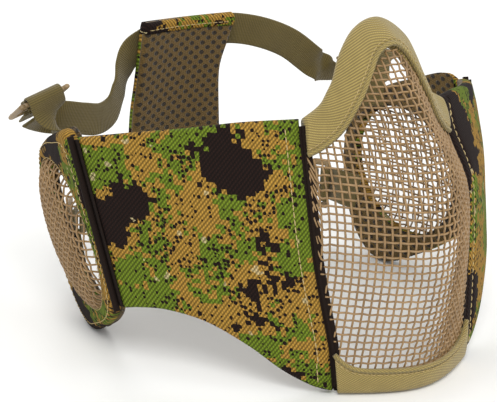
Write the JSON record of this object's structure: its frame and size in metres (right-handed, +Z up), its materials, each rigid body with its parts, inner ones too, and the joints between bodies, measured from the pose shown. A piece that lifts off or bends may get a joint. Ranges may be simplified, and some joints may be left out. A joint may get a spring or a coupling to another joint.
{
  "type": "half face mask",
  "caption": "Half face mask with a woven wire front, padded camouflage side panels, domed ear guards and elastic straps that run through ladder-lock buckles to a nape pad",
  "frame": {"origin": "middle of the bounding box at the level of the surface that the mask stands on", "axes": "+X to the wearer's left, +Y towards the back of the head, +Z up; the face looks along -Y"},
  "size_m": [0.2326, 0.2039, 0.1554],
  "materials": {
    "wire": "woven steel wire with tan paint",
    "tape": "knitted tan binding",
    "camo": "nylon weave printed with green, ochre and dark brown camouflage",
    "foam": "soft closed foam",
    "lining": "brown spacer mesh",
    "webbing": "olive elastic webbing",
    "plastic": "moulded tan plastic"
  },
  "bodies": {
    "front": {"face_mesh": "wire", "nose_binding": "tape", "nose_pad": "tape", "chin_binding": "tape", "chin_pad": "tape"},
    "side_right": {"side_cover_right": "camo", "side_foam_right": "foam", "side_lining_right": "lining"},
    "ear_right": {"ear_cover_right": "camo", "ear_foam_right": "foam", "ear_lining_right": "lining", "ear_mesh_right": "wire", "tab_upper_right": "webbing", "tab_lower_right": "webbing"},
    "buckle_upper_right": {"buckle_upper_right": "plastic", "strap_end_upper_right": "webbing"},
    "buckle_lower_right": {"buckle_lower_right": "plastic", "strap_end_lower_right": "webbing"},
    "side_left": {"side_cover_left": "camo", "side_foam_left": "foam", "side_lining_left": "lining"},
    "ear_left": {"ear_cover_left": "camo", "ear_foam_left": "foam", "ear_lining_left": "lining", "ear_mesh_left": "wire", "tab_upper_left": "webbing", "tab_lower_left": "webbing"},
    "buckle_upper_left": {"buckle_upper_left": "plastic", "strap_end_upper_left": "webbing"},
    "buckle_lower_left": {"buckle_lower_left": "plastic", "strap_end_lower_left": "webbing"},
    "pad": {"pad_cover": "camo", "pad_foam": "foam", "pad_lining": "lining"},
    "strap_upper_right": {"strap_upper_right": "webbing"},
    "strap_upper_left": {"strap_upper_left": "webbing"},
    "strap_lower_right": {"strap_lower_right": "webbing"},
    "strap_lower_left": {"strap_lower_left": "webbing"}
  },
  "joints": [
    {"name": "fold_right", "type": "hinge", "parent": "front", "child": "side_right", "pos_m": [-0.036, -0.0798, 0], "axis": [0.0252, -0.2602, -0.9652], "range_deg": [0, 12]},
    {"name": "ear_tilt_right", "type": "hinge", "parent": "side_right", "child": "ear_right", "pos_m": [-0.105, -0.0138, 0.029], "axis": [0.1182, -0.3415, -0.9324], "range_deg": [-6, 6]},
    {"name": "buckle_swivel_upper_right", "type": "hinge", "parent": "ear_right", "child": "buckle_upper_right", "pos_m": [-0.099, 0.0642, 0.103], "axis": [0.9563, 0, 0.2924], "range_deg": [-8, 8]},
    {"name": "buckle_swivel_lower_right", "type": "hinge", "parent": "ear_right", "child": "buckle_lower_right", "pos_m": [-0.08, 0.0757, 0.03], "axis": [0, 0, 1], "range_deg": [-8, 8]},
    {"name": "fold_left", "type": "hinge", "parent": "front", "child": "side_left", "pos_m": [0.036, -0.0798, 0], "axis": [0.0252, 0.2602, 0.9652], "range_deg": [0, 12]},
    {"name": "ear_tilt_left", "type": "hinge", "parent": "side_left", "child": "ear_left", "pos_m": [0.105, -0.0138, 0.029], "axis": [0.1182, 0.3415, 0.9324], "range_deg": [-6, 6]},
    {"name": "buckle_swivel_upper_left", "type": "hinge", "parent": "ear_left", "child": "buckle_upper_left", "pos_m": [0.099, 0.0642, 0.103], "axis": [0.9563, 0, -0.2924], "range_deg": [-8, 8]},
    {"name": "buckle_swivel_lower_left", "type": "hinge", "parent": "ear_left", "child": "buckle_lower_left", "pos_m": [0.08, 0.0757, 0.03], "axis": [0, 0, 1], "range_deg": [-8, 8]},
    {"name": "pad_swing", "type": "hinge", "parent": "front", "child": "pad", "pos_m": [0, 0.0922, -0.052], "axis": [-1, 0, 0], "range_deg": [0, 18]},
    {"name": "strap_turn_upper_right", "type": "hinge", "parent": "pad", "child": "strap_upper_right", "pos_m": [-0.0295, 0.0998, 0.108], "axis": [0, 0, 1], "range_deg": [0, 47.6]},
    {"name": "strap_turn_upper_left", "type": "hinge", "parent": "pad", "child": "strap_upper_left", "pos_m": [0.0285, 0.0994, 0.115], "axis": [0, 0, 1], "range_deg": [-49.6, 0]},
    {"name": "strap_turn_lower_right", "type": "hinge", "parent": "pad", "child": "strap_lower_right", "pos_m": [-0.0345, 0.0997, 0.0345], "axis": [0, 0, 1], "range_deg": [0, 81.1]},
    {"name": "strap_turn_lower_left", "type": "hinge", "parent": "pad", "child": "strap_lower_left", "pos_m": [0.0275, 0.0997, 0.0345], "axis": [0, 0, 1], "range_deg": [-73, 0]}
  ],
  "couplings": [
    {"joint": "fold_left", "follows": "fold_right", "ratio": 1},
    {"joint": "pad_swing", "follows": "fold_right", "ratio": 1.5},
    {"joint": "strap_turn_upper_right", "follows": "fold_right", "ratio": 3.95},
    {"joint": "strap_turn_upper_left", "follows": "fold_right", "ratio": -4.1167},
    {"joint": "strap_turn_lower_right", "follows": "fold_right", "ratio": 6.7417},
    {"joint": "strap_turn_lower_left", "follows": "fold_right", "ratio": -6.0667}
  ]
}
